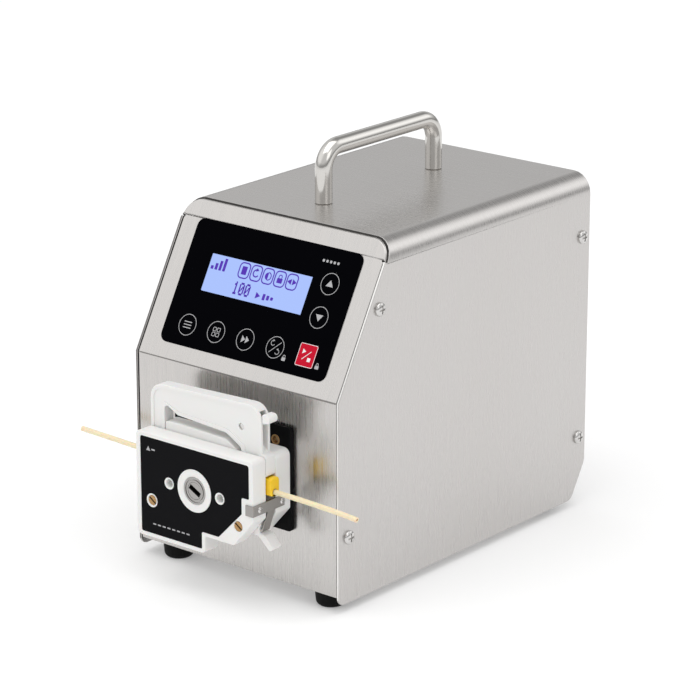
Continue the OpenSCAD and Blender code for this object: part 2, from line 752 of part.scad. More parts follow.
// Inside edge of the cartridge frame, above the pressing block
module frame_window() {
    outline([[-32, rod_z - 20, 0], [-32, shaft_h + 41.4, 2], [-22, shaft_h + 36.2, 1.5],
        [14, shaft_h + 34.2, 6], [24.5, shaft_h + 28, 3], [26.5, shaft_h + 10, 0],
        [26.5, rod_z - 20, 0]]);
}

module frame_outline() {
    difference() {
        union() {
            outline([[-42.5, shaft_h + 4, 1], [-27.5, shaft_h - 2, 2], [-23, shaft_h + 30, 0],
                [42.7, shaft_h + 20, 0], [42.7, shaft_h + 26.6, 1], [39.5, shaft_h + 27.5, 0.5],
                [39.5, shaft_h + 54.6, 9], [-42.5, shaft_h + 51.6, 9]]);
            outline([[-42.5, rod_z + 2, 4], [-25.8, rod_z - 1, 4], [-27, shaft_h + 12, 2],
                [-42.5, shaft_h + 8, 0]]);
            translate([-rod_x, rod_z]) circle(r = 6.4);
            outline([[26.5, shaft_h + 2.4, 2], [37.6, shaft_h + 2.4, 1], [37.6, shaft_h + 14.7, 0],
                [42.7, shaft_h + 14.7, 1], [42.7, shaft_h + 26, 0], [26.5, shaft_h + 26, 0]]);
        }
        difference() {
            frame_window();
            translate([-rod_x, rod_z]) circle(r = 6.4);
        }
        translate([0, shaft_h]) circle(r = bed_r);
        translate([-46, shaft_h + 4.2]) square([8.2, 11.4]);
        translate([-rod_x, rod_z]) circle(r = rod_r + run_gap);
        translate([-rod_x - rod_r - run_gap, rod_z - 10]) square([2 * (rod_r + run_gap), 10]);
    }
}

module cartridge_frame() {
    color("white") difference() {
        slab(cart_front, cart_back) frame_outline();
        slab(cart_front - 1, cart_front + 0.5)
            outline([[-40.2, shaft_h + 20, 0], [-34.2, shaft_h + 20, 0], [-34.2, shaft_h + 43, 2],
                [-21, shaft_h + 38.4, 2], [14.5, shaft_h + 36.6, 6], [27, shaft_h + 30, 3],
                [28.5, shaft_h + 20, 0], [37.2, shaft_h + 20, 0], [37.2, shaft_h + 52.2, 7],
                [-40.2, shaft_h + 49.4, 7]]);
        slab(lever_slot[0], lever_slot[1]) {
            translate(lever_at) circle(r = 6.2);
            translate(lever_at) polygon([[0, 0], [4.4, -4.2],
                [20 * cos(lever_up - lever_down - 22), 20 * sin(lever_up - lever_down - 22)],
                [26, -4], [26, 12], [20 * cos(lever_up + 14), 20 * sin(lever_up + 14)], [-3, 5.4]]);
        }
        slab(slot_mid - 1.6, slot_mid + 1.6) {
            translate([-50, exit_left_z - 1.8]) square([26, 3.6]);
            translate([24, exit_right_z - 1.8]) square([26, 4.2]);
        }
        rod_y(lever_pin_r + 0.02, cart_front - 1, cart_back + 1, lever_at);
    }
}

// Rounded block that squeezes the tube onto the rollers
module pressing_block() {
    color("white") slab(cart_front + 0.3, cart_back - 0.3) difference() {
        outline([[-31.7, shaft_h + 17, 2], [-31.7, shaft_h + 31, 1.5], [-21, shaft_h + 31.4, 1],
            [13, shaft_h + 30.4, 6], [21.4, shaft_h + 25.6, 3], [25, shaft_h + 17, 2],
            [25, shaft_h + 11, 1], [14, shaft_h + 11, 0], [0, shaft_h + 20, 0],
            [-14, shaft_h + 11, 0], [-27, shaft_h + 11, 1]]);
        translate([0, shaft_h]) circle(r = bed_r);
    }
}

module occlusion_lever() {
    color("white") translate([lever_at[0], 0, lever_at[1]]) difference() {
        union() {
            slab(slot_mid - 1.9, slot_mid + 1.9) {
                circle(r = 5.6);
                rotate(lever_up) translate([0, -2.2]) square([17, 4.4]);
            }
            slab(cart_front + 0.1, cart_back - 0.1)
                outline([[15.5, 5.3, 0.6], [20.6, 5.3, 2.2], [20.6, 10.3, 2.2], [15.5, 10.3, 0.6]]);
        }
        rod_y(lever_pin_r + 0.05, cart_front - 1, cart_back + 1);
    }
}

module lever_pin() {
    color("silver") rod_y(lever_pin_r, cart_front + 1.5, cart_back - 0.5, lever_at);
}

module pump_tube() {
    color("wheat") slab(slot_mid - 1.2, slot_mid + 1.2) polygon(band(tube_line, tube_flat));
}

module tube_end_left() {
    color("wheat") swept(route_left, end_r);
}

module tube_end_right() {
    color("wheat") swept(route_right, end_r);
}

// Tube clip that sits in the end of the cartridge; m is 1 on the right and -1 on the left
module tube_stop(m, exit_z) {
    difference() {
        union() {
            slab(cart_front + 0.3, cart_back - 0.3)
                outline([[m * 38, stop_z - stop_h / 2 + 0.6, 0.5], [m * 43.3, stop_z - stop_h / 2 + 0.6, 0],
                    [m * 43.3, stop_z + stop_h / 2 - 0.6, 0], [m * 38, stop_z + stop_h / 2 - 0.6, 0.5]]);
            side_slab(m * 44.65 - 1.35, m * 44.65 + 1.35) translate([slot_mid, stop_z])
                plate_2d(cart_back - cart_front - 0.2, stop_h, 2);
        }
        translate([m * 42, slot_mid, exit_z]) rotate([0, 90, 0])
            cylinder(r = tube_d / 2 + 0.25, h = 12, center = true);
    }
}

module tube_stops() {
    color("gold") {
        tube_stop(1, exit_right_z);
        tube_stop(-1, exit_left_z);
    }
}

// ---------- latch ----------

module latch_bracket() {
    color("silver") difference() {
        union() {
            translate([38.2, head_front - bracket_t, bracket_z - 3.1])
                cube([head_half + bracket_t - 38.2, bracket_t, 6.2]);
            translate([head_half, head_front - eps, bracket_z - 3.1])
                cube([bracket_t, slot_back + 6.4 - head_front, 6.2]);
        }
        for (y = bracket_screw_y) translate([head_half, y, bracket_z]) rotate([0, 90, 0])
            cylinder(r = 1.1, h = 4, center = true);
    }
}

module bracket_screws() {
    color("gray") for (y = bracket_screw_y) translate([head_half + bracket_t, y, bracket_z])
        rotate([0, 90, 0]) pan_screw(1.9, 0.9, 0.9, bracket_t - 0.1);
}

module release_lever() {
    color("white") slab(cart_front, cart_back) difference() {
        union() {
            translate([rod_x, rod_z]) circle(r = 6.2);
            outline([[rod_x - 2, rod_z + 2, 0], [rod_x + 4.6, rod_z - 1, 1],
                [rod_x + 5.2, rod_z + 12, 1.5], [rod_x - 1.6, rod_z + 12, 1.5]]);
            outline([[rod_x - 1.5, rod_z - 5, 1], [rod_x + 5.5, rod_z - 8.7, 1],
                [rod_x + 12.6, rod_z - 15.1, 0.8], [rod_x + 15.6, rod_z - 12.9, 0.8],
                [rod_x + 9.5, rod_z - 6.5, 1], [rod_x + 5.6, rod_z - 5.7, 0.5],
                [rod_x + 4.6, rod_z + 1, 0]]);
        }
        translate([rod_x, rod_z]) circle(r = rod_r + run_gap);
    }
}

// Leaf spring that hangs from the bracket and bears on the release lever
module release_spring() {
    color("silver") slab(slot_mid - 3, slot_mid + 3) polygon(band(
        [[head_half - 0.4, bracket_z + 3], [head_half - 0.4, bracket_z - 3.4],
         [42, shaft_h - 8.1], [38.7, shaft_h - 17.9]], 0.7));
}

// ---------- output ----------

placed() cover();
placed() front_panel();
placed() rear_panel();
placed() base_pan();
placed() carry_handle();
placed() handle_screws();
placed() cover_screws();
placed() rubber_feet();
placed() foot_screws();
placed() keypad_overlay();
placed() lcd_module();
placed() control_board();
placed() key_menu();
placed() key_mode();
placed() key_fast();
placed() key_direction();
placed() key_run();
placed() key_up();
placed() key_down();
placed() stepper_motor();
placed() motor_screws();
placed() drive_shaft();
placed() power_supply();
placed() board_spacers();
placed() inlet_socket();
placed() power_switch();
placed() power_rocker();
placed() control_port();
placed() adapter_plate();
placed() adapter_inserts();
placed() head_rear_plate();
placed() head_front_plate();
placed() face_label();
placed() tie_rods();
placed() head_screws();
placed() shaft_bearings();
placed() rotor_shaft();
placed() roller_carrier();
placed() roller_pins();
placed() roller(0);  // roller_1
placed() roller(1);  // roller_2
placed() roller(2);  // roller_3
placed() roller(3);  // roller_4
placed() roller(4);  // roller_5
placed() roller(5);  // roller_6
placed() cartridge_frame();
placed() pressing_block();
placed() occlusion_lever();
placed() lever_pin();
placed() pump_tube();
placed() tube_end_left();
placed() tube_end_right();
placed() tube_stops();
placed() latch_bracket();
placed() bracket_screws();
placed() release_lever();
placed() release_spring();
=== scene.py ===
import json
import math

import bmesh
import bpy
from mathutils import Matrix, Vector

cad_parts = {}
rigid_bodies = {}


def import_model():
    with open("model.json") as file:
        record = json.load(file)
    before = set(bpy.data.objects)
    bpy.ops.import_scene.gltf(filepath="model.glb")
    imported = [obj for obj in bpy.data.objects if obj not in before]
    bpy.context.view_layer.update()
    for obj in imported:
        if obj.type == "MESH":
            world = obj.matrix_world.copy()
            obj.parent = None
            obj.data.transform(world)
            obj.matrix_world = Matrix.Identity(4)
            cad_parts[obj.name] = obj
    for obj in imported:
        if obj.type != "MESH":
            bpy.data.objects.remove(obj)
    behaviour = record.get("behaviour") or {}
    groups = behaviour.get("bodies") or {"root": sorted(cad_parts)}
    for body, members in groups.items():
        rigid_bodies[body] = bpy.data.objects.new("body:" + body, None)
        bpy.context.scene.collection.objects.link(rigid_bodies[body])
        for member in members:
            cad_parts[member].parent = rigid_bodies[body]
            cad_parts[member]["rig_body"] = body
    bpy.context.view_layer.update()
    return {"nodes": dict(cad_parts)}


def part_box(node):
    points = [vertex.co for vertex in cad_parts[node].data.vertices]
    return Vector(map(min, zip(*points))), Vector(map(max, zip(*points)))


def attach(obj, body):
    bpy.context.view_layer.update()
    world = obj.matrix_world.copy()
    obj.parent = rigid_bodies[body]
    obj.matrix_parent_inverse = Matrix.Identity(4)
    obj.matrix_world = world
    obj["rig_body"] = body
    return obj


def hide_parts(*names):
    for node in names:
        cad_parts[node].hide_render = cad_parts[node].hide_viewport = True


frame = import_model()

MM = 0.001
SCENE = bpy.context.scene

# ---------- places that the pieces are measured from ----------

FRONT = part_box("front_panel")[0].y            # plane of the front panel
CASE_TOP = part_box("cover")[1].z
HEAD_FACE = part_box("head_front_plate")[0].y   # front face of the pump head
BEND_Z = 123 * MM                             # height of the bend in the front panel
SLOPE_RUN = 46 * MM                           # how far back the sloping face reaches
SLOPE_UP = Vector((0, SLOPE_RUN, CASE_TOP - BEND_Z)).normalized()
SLOPE_OUT = Vector((0, -SLOPE_UP.z, SLOPE_UP.y))
SHAFT_Z = 65.4 * MM                           # height of the rotor's axis
KEY_TOP = 0.65                                # top of a key cap above the slope, in mm
OVERLAY_TOP = 0.6                             # top of the keypad overlay, in mm


def on_slope(across, up, out):
    """A point of the sloping face, in mm across, up the slope from the bend, and out of the face."""
    return Vector((across * MM, FRONT, BEND_Z)) + SLOPE_UP * up * MM + SLOPE_OUT * out * MM


def on_head(across, up, out):
    """A point of the head's front face, in mm from the shaft's axis, and out of the face."""
    return Vector((across * MM, HEAD_FACE - out * MM, SHAFT_Z + up * MM))


# ---------- camera ----------

def make_camera():
    """A long lens that looks at the front and the right side from a little above."""
    azimuth, elevation = math.radians(39.64), math.radians(17.99)
    back = Vector((math.sin(azimuth) * math.cos(elevation),
                   -math.cos(azimuth) * math.cos(elevation), math.sin(elevation)))
    data = bpy.data.cameras.new("camera")
    data.lens = 165.43
    data.sensor_width = 36
    camera = bpy.data.objects.new("camera", data)
    camera.location = (1.12702, -1.36026, 0.68720)
    camera.rotation_mode = "QUATERNION"
    camera.rotation_quaternion = (-back).to_track_quat("-Z", "Y")
    SCENE.collection.objects.link(camera)
    SCENE.camera = camera


# ---------- materials ----------

COLOUR_A, COLOUR_B, COLOUR_OUT = 6, 7, 2      # colour sockets of a Mix node


def shade(colour, factor):
    """The colour made lighter or darker, with an alpha of 1."""
    return tuple(min(1.0, c * factor) for c in colour) + (1.0,)


def finish(name, colour, rough, grain=(500, 500, 500), vary=0.05, spread=0.05, bump=0.1,
           depth=0.02, cloud=(14, 14, 14), blotch=0.03, tint=(1.0, 1.0, 1.0), **sockets):
    """A surface whose colour, gloss and relief vary with a fine grain and a broad cloud.

    grain and cloud are noise frequencies per metre along X, Y and Z. vary and blotch are how far
    the colour moves with each, spread how far the roughness does, and depth the relief in mm.
    """
    made = bpy.data.materials.new(name)
    made.use_nodes = True
    nodes, links = made.node_tree.nodes, made.node_tree.links
    shader = nodes["Principled BSDF"]
    for socket, value in sockets.items():
        shader.inputs[socket.replace("_", " ")].default_value = value
    place = nodes.new("ShaderNodeTexCoord")

    def noise(frequency, detail):
        stretch = nodes.new("ShaderNodeMapping")
        stretch.inputs["Scale"].default_value = frequency
        links.new(place.outputs["Object"], stretch.inputs["Vector"])
        texture = nodes.new("ShaderNodeTexNoise")
        texture.inputs["Scale"].default_value = 1
        texture.inputs["Detail"].default_value = detail
        links.new(stretch.outputs["Vector"], texture.inputs["Vector"])
        return texture.outputs["Fac"]

    def mixed(factor, first, second):
        mix = nodes.new("ShaderNodeMix")
        mix.data_type = "RGBA"
        for socket, value in ((COLOUR_A, first), (COLOUR_B, second)):
            if isinstance(value, tuple):
                mix.inputs[socket].default_value = value
            else:
                links.new(value, mix.inputs[socket])
        links.new(factor, mix.inputs[0])
        return mix.outputs[COLOUR_OUT]

    fine, broad = noise(grain, 4), noise(cloud, 2)
    dark = mixed(broad, shade(colour, 1 - vary - blotch), shade(colour, 1 - vary + blotch))
    warm = tuple(c * t for c, t in zip(colour, tint))
    light = mixed(broad, shade(warm, 1 + vary - blotch), shade(colour, 1 + vary + blotch))
    links.new(mixed(fine, dark, light), shader.inputs["Base Color"])
    gloss = nodes.new("ShaderNodeMapRange")
    gloss.inputs["From Min"].default_value = 0.3
    gloss.inputs["From Max"].default_value = 0.7
    gloss.inputs["To Min"].default_value = rough - spread
    gloss.inputs["To Max"].default_value = rough + spread
    links.new(fine, gloss.inputs["Value"])
    links.new(gloss.outputs["Result"], shader.inputs["Roughness"])
    relief = nodes.new("ShaderNodeBump")
    relief.inputs["Strength"].default_value = bump
    relief.inputs["Distance"].default_value = depth * MM
    links.new(fine, relief.inputs["Height"])
    links.new(relief.outputs["Normal"], shader.inputs["Normal"])
    return made


def display_glow(name, colour):
    """The lit display: an even glow with the fine grid of its dots."""
    made = bpy.data.materials.new(name)
    made.use_nodes = True
    nodes, links = made.node_tree.nodes, made.node_tree.links
    shader = nodes["Principled BSDF"]
    shader.inputs["Base Color"].default_value = (0.02, 0.02, 0.05, 1)
    shader.inputs["Roughness"].default_value = 0.3
    shader.inputs["Specular IOR Level"].default_value = 0.1
    shader.inputs["Emission Strength"].default_value = 1.0
    place = nodes.new("ShaderNodeTexCoord")
    grid = nodes.new("ShaderNodeTexWave")
    grid.inputs["Scale"].default_value = 400
    grid.inputs["Distortion"].default_value = 0.3
    links.new(place.outputs["Object"], grid.inputs["Vector"])
    mix = nodes.new("ShaderNodeMix")
    mix.data_type = "RGBA"
    mix.inputs[COLOUR_A].default_value = shade(colour, 0.97)
    mix.inputs[COLOUR_B].default_value = shade(colour, 1.03)
    links.new(grid.outputs["Fac"], mix.inputs[0])
    links.new(mix.outputs[COLOUR_OUT], shader.inputs["Emission Color"])
    return made


STEEL = (0.57, 0.556, 0.545)
LOOKS = {
    "cover_steel": finish("cover_steel", STEEL, 0.29, grain=(30, 950, 30), vary=0.05, spread=0.05,
                          bump=0.18, depth=0.01, cloud=(9, 9, 4), blotch=0.025,
                          tint=(1.02, 1.0, 0.985), Metallic=1.0),
    "panel_steel": finish("panel_steel", STEEL, 0.28, grain=(900, 45, 45), vary=0.10, spread=0.06,
                          bump=0.12, depth=0.008, cloud=(10, 6, 6), blotch=0.03,
                          tint=(1.03, 1.0, 0.97), Metallic=1.0),
    "handle_steel": finish("handle_steel", (0.62, 0.605, 0.58), 0.12, grain=(2400, 2400, 90), vary=0.04,
                           spread=0.04, bump=0.12, depth=0.008, Metallic=1.0),
    "screw_steel": finish("screw_steel", (0.62, 0.61, 0.60), 0.13, grain=(1500, 1500, 1500), vary=0.05,
                          spread=0.05, Metallic=1.0),
    "bearing_steel": finish("bearing_steel", (0.38, 0.37, 0.36), 0.22, grain=(1200, 200, 1200),
                            vary=0.05, Metallic=1.0),
    "bracket_steel": finish("bracket_steel", (0.36, 0.345, 0.33), 0.42, grain=(900, 180, 1800),
                            vary=0.07, spread=0.07, Metallic=1.0),
    "brass": finish("brass", (0.42, 0.26, 0.12), 0.3, grain=(1500, 300, 1500), vary=0.08,
                    spread=0.08, Metallic=1.0),
    "white_acetal": finish("white_acetal", (0.82, 0.815, 0.80), 0.38, grain=(900, 900, 900), vary=0.008,
                           spread=0.06, bump=0.12, depth=0.015, cloud=(60, 60, 60), blotch=0.01,
                           Subsurface_Weight=0.12, Subsurface_Scale=0.002),
    "yellow_clip": finish("yellow_clip", (0.93, 0.60, 0.012), 0.35, grain=(1200, 1200, 1200), vary=0.03,
                          Subsurface_Weight=0.1, Subsurface_Scale=0.0015),
    "silicone": finish("silicone", (0.86, 0.74, 0.50), 0.28, grain=(300, 900, 900), vary=0.02,
                       spread=0.05, cloud=(40, 40, 40), blotch=0.03,
                       Subsurface_Weight=0.3, Subsurface_Scale=0.0015),
    "overlay_black": finish("overlay_black", (0.0012, 0.0012, 0.002), 0.3, grain=(1800, 1800, 1800),
                            vary=0.2, spread=0.04, bump=0.05, depth=0.005, Specular_IOR_Level=0.006),
    "label_black": finish("label_black", (0.005, 0.005, 0.006), 0.42, grain=(2200, 2200, 2200), vary=0.3,
                          spread=0.06, bump=0.15, depth=0.01, Specular_IOR_Level=0.035),
    "key_red": finish("key_red", (0.53, 0.006, 0.026), 0.35, grain=(1500, 1500, 1500), vary=0.05,
                      Specular_IOR_Level=0.05),
    # painted shade: near black on the cover's top cut edges, standing in for the shaded seam behind the
    # front panel
    "top_edge_painted_shade": finish("top_edge_painted_shade", (0.045, 0.042, 0.04), 0.6, grain=(900, 900, 900), vary=0.15,
                        Specular_IOR_Level=0.2),
    # painted shade: grey on the cover's left cut edges, while the same edges on the right get a painted
    # highlight
    "left_edge_painted_shade": finish("left_edge_painted_shade", (0.16, 0.15, 0.145), 0.5, grain=(900, 900, 900), vary=0.12,
                        Specular_IOR_Level=0.3),
    # painted shade along the front panel's bend
    "bend_shade": finish("bend_shade", (0.24, 0.23, 0.22), 0.45, grain=(900, 60, 60), vary=0.12,
                         Metallic=0.7),
    # painted highlight: near white on the cover's right cut edges
    "right_edge_painted_highlight": finish("right_edge_painted_highlight", (0.90, 0.89, 0.87), 0.4, grain=(900, 900, 900), vary=0.02,
                          Metallic=0.6),
    # painted shade: near black at the bottoms of slots and on the shaft inside the head
    "slot_painted_shade": finish("slot_painted_shade", (0.006, 0.006, 0.006), 0.6, grain=(900, 900, 900), vary=0.2,
                        Specular_IOR_Level=0.1),
    "print_white": finish("print_white", (0.80, 0.80, 0.80), 0.5, grain=(1200, 1200, 1200), vary=0.04),
    "print_grey": finish("print_grey", (0.42, 0.42, 0.43), 0.5, grain=(1200, 1200, 1200), vary=0.04,
                         Specular_IOR_Level=0.2),
    "print_violet": finish("print_violet", (0.085, 0.03, 0.42), 0.5, grain=(2500, 2500, 2500),
                           vary=0.15, Specular_IOR_Level=0.1),
    "anodised_black": finish("anodised_black", (0.004, 0.004, 0.0045), 0.35, grain=(1500, 1500, 1500),
                             vary=0.25, spread=0.07, Specular_IOR_Level=0.04),
    "black_plastic": finish("black_plastic", (0.016, 0.016, 0.017), 0.45, grain=(1100, 1100, 1100),
                            vary=0.2, spread=0.08, bump=0.25, depth=0.03),
    "foot_rubber": finish("foot_rubber", (0.004, 0.004, 0.004), 0.6, grain=(900, 900, 900), vary=0.25,
                          spread=0.1, bump=0.4, depth=0.05, Specular_IOR_Level=0.12),
    "motor_black": finish("motor_black", (0.03, 0.03, 0.033), 0.45, grain=(150, 900, 150), vary=0.2),
    "board_green": finish("board_green", (0.015, 0.13, 0.05), 0.4, grain=(700, 700, 700), vary=0.2),
    "display_frame": finish("display_frame", (0.20, 0.21, 0.22), 0.4, grain=(700, 700, 700), vary=0.1),
    "display_glow": display_glow("display_glow", (0.385, 0.52, 0.93)),
}


# ---------- mesh helpers ----------

SHARP_ANGLE = 40                              # edges sharper than this, in degrees, stay hard
ROUND_ANGLES = (36, 180)                      # edges between these angles are rounded
BEND_ANGLES = (25, 35)                        # the front panel's bend lies between these


def add_object(bm, name, look, body, replaces=(), even=True):
    """Turns a bmesh into a piece that rides on a body, smooth except across its sharp edges."""
    bmesh.ops.recalc_face_normals(bm, faces=bm.faces)
    for face in bm.faces:
        face.smooth = True
        face.material_index = 0
    for edge in bm.edges:
        edge.smooth = math.degrees(edge.calc_face_angle(0)) < SHARP_ANGLE
    mesh = bpy.data.meshes.new(name)
    bm.to_mesh(mesh)
    bm.free()
    old_normals = mesh.attributes.get("custom_normal")
    if old_normals:
        mesh.attributes.remove(old_normals)
    mesh.materials.append(LOOKS[look])
    made = bpy.data.objects.new(name, mesh)
    SCENE.collection.objects.link(made)
    if even:
        shading = made.modifiers.new("even_shading", "WEIGHTED_NORMAL")
        shading.keep_sharp = True
        shading.weight = 90
    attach(made, body)
    if replaces:
        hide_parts(*replaces)
    return made


def roomy(edge, width):
    """True if both faces at an edge reach far enough from it for a rounding of that width.

    A face must also have no other edge close beside it, as the bottom of a slot has.
    """
    start = edge.verts[0].co
    along = (edge.verts[1].co - start).normalized()
    span = edge.calc_length()
    for face in edge.link_faces:
        if max((v.co - start).cross(along).length for v in face.verts) < 2.4 * width:
            return False
        for other in face.edges:
            ends = [v.co - start for v in other.verts if v not in edge.verts]
            beside = len(ends) == 2 and max(v.cross(along).length for v in ends) < width
            if beside and min(v.dot(along) for v in ends) < span and max(v.dot(along) for v in ends) > 0:
                return False
    return True


def soften(bm, width, angles, segments):
    """Rounds the outside edges whose faces meet at an angle between the two given."""
    low, high = angles
    edges = [e for e in bm.edges if e.is_manifold
             and low < math.degrees(e.calc_face_angle_signed(0)) <= high and roomy(e, width)]
    bmesh.ops.bevel(bm, geom=edges, offset=width, offset_type="OFFSET", segments=segments,
                    profile=0.5, affect="EDGES", clamp_overlap=False)


def dress(node, look, slot, width, bend=0):
    """A copy of a CAD node with edges rounded by width mm, which is shown instead of it."""
    bm = bmesh.new()
    bm.from_mesh(frame["nodes"][node].data)
    bmesh.ops.remove_doubles(bm, verts=bm.verts, dist=0.004 * MM)
    bmesh.ops.dissolve_limit(bm, angle_limit=math.radians(0.4), verts=bm.verts, edges=bm.edges)
    bmesh.ops.recalc_face_normals(bm, faces=bm.faces)
    if bend:
        soften(bm, bend * MM, BEND_ANGLES, 4)
    soften(bm, width * MM, ROUND_ANGLES, 3)
    return add_object(bm, node + "_finished", look, frame["nodes"][node]["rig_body"], (node,))


def repaint(node, look, chosen):
    """Gives another look to the faces of a dressed node that the test picks out."""
    mesh = bpy.data.objects[node + "_finished"].data
    mesh.materials.append(LOOKS[look])
    for face in mesh.polygons:
        if chosen(face.center, face.normal):
            face.material_index = len(mesh.materials) - 1


def prism(bm, outline, place, low, high):
    """A flat shape with the given outline, from low to high mm above its surface."""
    rings = [[bm.verts.new(place(x, y, level)) for x, y in outline] for level in (low, high)]
    bm.faces.new(rings[0][::-1])
    bm.faces.new(rings[1])
    count = len(outline)
    for i in range(count):
        j = (i + 1) % count
        bm.faces.new((rings[0][i], rings[0][j], rings[1][j], rings[1][i]))


def stroke(bm, line, width, place, low, high, closed=False):
    """A line of even width drawn on a surface, as a closed solid."""
    count = len(line)
    sides = []
    for i, point in enumerate(line):
        before = line[(i - 1) % count] if closed or i else point
        after = line[(i + 1) % count] if closed or i < count - 1 else point
        along = (Vector(after) - Vector(before)).normalized() * width / 2
        sides.append(((point[0] - along.y, point[1] + along.x), (point[0] + along.y, point[1] - along.x)))
    quads = [[bm.verts.new(place(*pair[k], level)) for k, level in
              ((0, low), (1, low), (1, high), (0, high))] for pair in sides]
    last = count if closed else count - 1
    for i in range(last):
        here, there = quads[i], quads[(i + 1) % count]
        for k in range(4):
            bm.faces.new((here[k], there[k], there[(k + 1) % 4], here[(k + 1) % 4]))
    if not closed:
        bm.faces.new(quads[0][::-1])
        bm.faces.new(quads[-1])


def arc(centre, radius, start, end, steps):
    """Points of an arc, with its angles in degrees."""
    turns = [math.radians(start + (end - start) * i / steps) for i in range(steps + 1)]
    return [(centre[0] + radius * math.cos(t), centre[1] + radius * math.sin(t)) for t in turns]


def circle(centre, radius, steps=48):
    """Points of a whole circle, each given once."""
    return arc(centre, radius, 0, 360, steps)[:-1]


def round_box(centre, width, height, radius, steps=6):
    """Outline of a rectangle with rounded corners."""
    points = []
    for k, (sx, sy) in enumerate(((1, 1), (-1, 1), (-1, -1), (1, -1))):
        middle = (centre[0] + sx * (width / 2 - radius), centre[1] + sy * (height / 2 - radius))
        points += arc(middle, radius, 90 * k, 90 * k + 90, steps)
    return points


def smooth_line(points, steps):
    """Points of a smooth curve through the given points."""
    ends = [2 * points[0] - points[1], *points, 2 * points[-1] - points[-2]]
    line = []
    for a, b, c, d in zip(ends, ends[1:], ends[2:], ends[3:]):
        for i in range(steps):
            t = i / steps
            line.append(0.5 * (2 * b + (c - a) * t + (2 * a - 5 * b + 4 * c - d) * t * t
                               + (3 * b - a - 3 * c + d) * t ** 3))
    return line + [points[-1]]


def ring(bm, centre, along, flat, radius, sides):
    """A circle of vertices round a point of a line that lies in the plane with the normal flat."""
    other = along.normalized().cross(flat)
    turns = [2 * math.pi * k / sides for k in range(sides)]
    return [bm.verts.new(centre + radius * (flat * math.cos(t) + other * math.sin(t))) for t in turns]


def bridge(bm, rings):
    """Joins each ring of vertices to the next with a band of faces."""
    for here, there in zip(rings, rings[1:]):
        for k in range(len(here)):
            j = (k + 1) % len(here)
            bm.faces.new((here[k], here[j], there[j], there[k]))


# ---------- tube ends ----------

TUBE_R = 1.5 * MM
BORE_R = 0.75 * MM
# Routes of the two free ends, in mm, the same as in the CAD source
SLOT_Y = -119.35
ROUTE_RIGHT = [(46, SLOT_Y, 71.4), (56, SLOT_Y, 71.3), (66, SLOT_Y, 71.1), (76, SLOT_Y, 70.8),
               (86, SLOT_Y, 70.4), (95, SLOT_Y, 69.9), (104, SLOT_Y, 69.3)]
ROUTE_LEFT = [(-46, SLOT_Y, 73.9), (-56, SLOT_Y, 74.2), (-66, SLOT_Y, 74.5), (-76, SLOT_Y, 74.8),
              (-86, SLOT_Y, 75.1), (-100, SLOT_Y, 75.5)]


def make_hose(name, node, route):
    """One free end of the pump tube, with its bore, cut square."""
    line = smooth_line([Vector(p) * MM for p in route], 4)
    flat = Vector((0, 1, 0))
    lip = 0.15 * MM
    bm = bmesh.new()
    tangents = [(line[min(i + 1, len(line) - 1)] - line[max(i - 1, 0)]).normalized()
                for i in range(len(line))]
    outside = [(line[0], TUBE_R - lip), (line[0] + tangents[0] * lip, TUBE_R),
               *((point, TUBE_R) for point in line[1:-1]),
               (line[-1] - tangents[-1] * lip, TUBE_R), (line[-1], TUBE_R - lip)]
    inside = [(point, BORE_R) for point in reversed(line)]
    along = [tangents[0], *tangents, tangents[-1], *reversed(tangents)]
    rings = [ring(bm, p, t, flat, r, 28) for (p, r), t in zip(outside + inside, along)]
    bridge(bm, rings + rings[:1])
    made = add_object(bm, name, "silicone", "cartridge", (node,), even=False)


# ---------- carry handle ----------

def make_handle():
    """The bent round bar, with a small rounding where its legs are cut off."""
    low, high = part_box("carry_handle")
    radius = (high.x - low.x) / 2
    bend = 12 * MM
    middle = (high.x + low.x) / 2
    front, rear = low.y + radius, high.y - radius
    top = high.z - radius
    lip = 0.5 * MM
    leg = (low.z, low.z + lip, low.z + 4 * MM)
    line = [Vector((middle, front, z)) for z in leg]
    for centre, start in ((front + bend, 180), (rear - bend, 90)):
        line += [Vector((middle, y, z)) for y, z in arc((centre, top - bend), bend, start, start - 90, 20)]
    line += [Vector((middle, rear, z)) for z in reversed(leg)]
    bm = bmesh.new()
    rings = []
    for i, point in enumerate(line):
        along = line[min(i + 1, len(line) - 1)] - line[max(i - 1, 0)]
        shrink = lip if i in (0, len(line) - 1) else 0
        rings.append(ring(bm, point, along, Vector((1, 0, 0)), radius - shrink, 48))
    bridge(bm, rings)
    bm.faces.new(rings[0])
    bm.faces.new(rings[-1])
    add_object(bm, "carry_handle_bar", "handle_steel", "case", ("carry_handle",))


# ---------- keypad print ----------

PRINT = 0.03                                  # thickness of the print in mm
THIN = 0.34                                   # width of the printed rings in mm
KEY_RING = 6.1                                # radius of the printed rings in mm
# Middle of each key, in mm across and up the slope
KEYS = {"key_menu": (-43.8, 21.5), "key_mode": (-22.3, 21.5), "key_fast": (-0.6, 21.5),
        "key_direction": (21.3, 21.5), "key_run": (44, 21.5), "key_up": (43.9, 62.8),
        "key_down": (43.9, 43.4)}


def arrow_head(centre, size, turn):
    """A triangle that points in the direction turn, in degrees."""
    return arc(centre, size, turn, turn + 240, 2)


